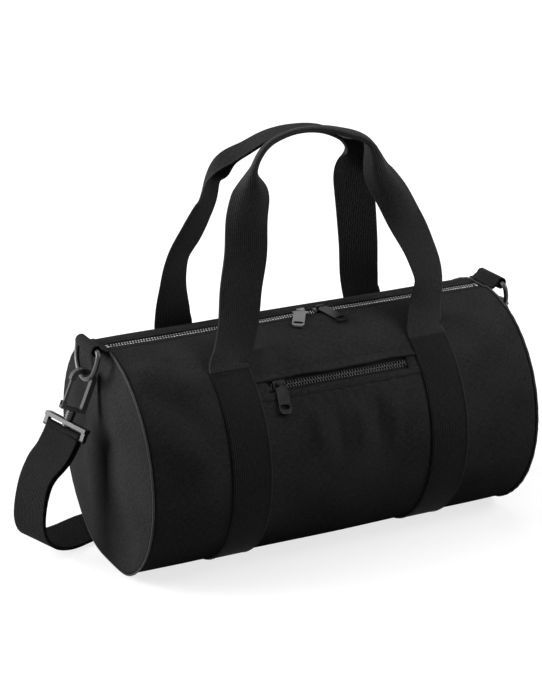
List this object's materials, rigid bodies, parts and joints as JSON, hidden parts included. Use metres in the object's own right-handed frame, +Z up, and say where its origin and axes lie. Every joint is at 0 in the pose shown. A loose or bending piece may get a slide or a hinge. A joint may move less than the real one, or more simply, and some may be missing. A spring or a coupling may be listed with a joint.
{
  "type": "barrel bag",
  "caption": "Black canvas barrel bag with a zipped top, zipped front pocket, webbing carry handles and a clip-on adjustable shoulder strap.",
  "frame": {"origin": "on the floor under the middle of the bag", "axes": "+X along the barrel towards the right end, -Y towards the front pocket, +Z up"},
  "size_m": [0.5354, 0.222, 0.3824],
  "materials": {
    "canvas": "matte woven polyester",
    "zip_tape": "matte knitted tape",
    "webbing": "ribbed, slight sheen",
    "zip_metal": "dark gunmetal",
    "hardware_plastic": "moulded, semi gloss"
  },
  "bodies": {
    "bag": {"main_panel": "canvas", "end_panel_left": "canvas", "end_panel_right": "canvas", "seam_binding_left": "canvas", "seam_binding_right": "canvas", "pocket_lining": "canvas", "pocket_welt_upper": "canvas", "pocket_welt_lower": "canvas", "pocket_zip_tab_left": "canvas", "pocket_zip_tab_right": "canvas", "main_zip_tape_front": "zip_tape", "main_zip_tape_back": "zip_tape", "pocket_zip_tape_lower": "zip_tape", "pocket_zip_tape_upper": "zip_tape", "body_band_left": "webbing", "body_band_right": "webbing", "d_ring_tab_left": "webbing", "d_ring_tab_right": "webbing", "strap_webbing": "webbing", "strap_return": "webbing", "strap_tail": "webbing", "strap_fold_left": "webbing", "strap_fold_right": "webbing", "main_zip_teeth_front": "zip_metal", "main_zip_teeth_back": "zip_metal", "main_zip_stops": "zip_metal", "pocket_zip_teeth_lower": "zip_metal", "pocket_zip_teeth_upper": "zip_metal", "pocket_zip_stops": "zip_metal", "hook_base_left": "hardware_plastic", "hook_base_right": "hardware_plastic", "strap_adjuster": "hardware_plastic"},
    "handle_front": {"handle_front": "webbing"},
    "handle_back": {"handle_back": "webbing"},
    "main_slider_left": {"main_slider_left": "zip_metal"},
    "main_slider_right": {"main_slider_right": "zip_metal"},
    "main_pull_left": {"main_pull_left": "zip_metal"},
    "main_pull_right": {"main_pull_right": "zip_metal"},
    "pocket_slider": {"pocket_slider": "zip_metal"},
    "pocket_pull": {"pocket_pull": "zip_metal"},
    "d_ring_left": {"d_ring_left": "hardware_plastic"},
    "d_ring_right": {"d_ring_right": "hardware_plastic"},
    "snap_hook_left": {"snap_hook_left": "hardware_plastic"},
    "snap_hook_right": {"snap_hook_right": "hardware_plastic"},
    "hook_gate_left": {"hook_gate_left": "hardware_plastic"},
    "hook_gate_right": {"hook_gate_right": "hardware_plastic"}
  },
  "joints": [
    {"name": "front_handle_fold", "type": "hinge", "parent": "bag", "child": "handle_front", "pos_m": [0, -0.06317, 0.18789], "axis": [1, 0, 0], "range_deg": [0, 115]},
    {"name": "back_handle_fold", "type": "hinge", "parent": "bag", "child": "handle_back", "pos_m": [0, 0.06317, 0.18789], "axis": [-1, 0, 0], "range_deg": [0, 115]},
    {"name": "left_main_slider_travel", "type": "slide", "parent": "bag", "child": "main_slider_left", "axis": [1, 0, 0], "range_m": [-0.155, 0]},
    {"name": "right_main_slider_travel", "type": "slide", "parent": "bag", "child": "main_slider_right", "axis": [1, 0, 0], "range_m": [0, 0.145]},
    {"name": "pocket_slider_travel", "type": "slide", "parent": "bag", "child": "pocket_slider", "axis": [1, 0, 0], "range_m": [0, 0.115]},
    {"name": "left_main_pull_swing", "type": "hinge", "parent": "main_slider_left", "child": "main_pull_left", "pos_m": [0.002, 0, 0.20948], "axis": [-1, 0, 0], "range_deg": [0, 172]},
    {"name": "right_main_pull_swing", "type": "hinge", "parent": "main_slider_right", "child": "main_pull_right", "pos_m": [0.022, 0, 0.20948], "axis": [-1, 0, 0], "range_deg": [0, 172]},
    {"name": "pocket_pull_swing", "type": "hinge", "parent": "pocket_slider", "child": "pocket_pull", "pos_m": [-0.0575, -0.07949, 0.17409], "axis": [-1, 0, 0], "range_deg": [0, 172]},
    {"name": "left_ring_swing", "type": "hinge", "parent": "bag", "child": "d_ring_left", "pos_m": [-0.203, 0, 0.20942], "axis": [0, -1, 0], "range_deg": [-5, 5]},
    {"name": "left_hook_swivel", "type": "hinge", "parent": "bag", "child": "snap_hook_left", "pos_m": [-0.20909, 0, 0.18076], "axis": [0.3971, 0, 0.9178], "range_deg": [-12, 12]},
    {"name": "left_gate_press", "type": "hinge", "parent": "snap_hook_left", "child": "hook_gate_left", "pos_m": [-0.22837, 0, 0.16077], "axis": [0, 1, 0], "range_deg": [0, 30], "stiffness_Nm_per_rad": 0.02},
    {"name": "right_ring_swing", "type": "hinge", "parent": "bag", "child": "d_ring_right", "pos_m": [0.203, 0, 0.20942], "axis": [0, 1, 0], "range_deg": [-5, 5]},
    {"name": "right_hook_swivel", "type": "hinge", "parent": "bag", "child": "snap_hook_right", "pos_m": [0.20909, 0, 0.18076], "axis": [-0.3971, 0, 0.9178], "range_deg": [-12, 12]},
    {"name": "right_gate_press", "type": "hinge", "parent": "snap_hook_right", "child": "hook_gate_right", "pos_m": [0.22837, 0, 0.16077], "axis": [0, -1, 0], "range_deg": [0, 30], "stiffness_Nm_per_rad": 0.02}
  ]
}
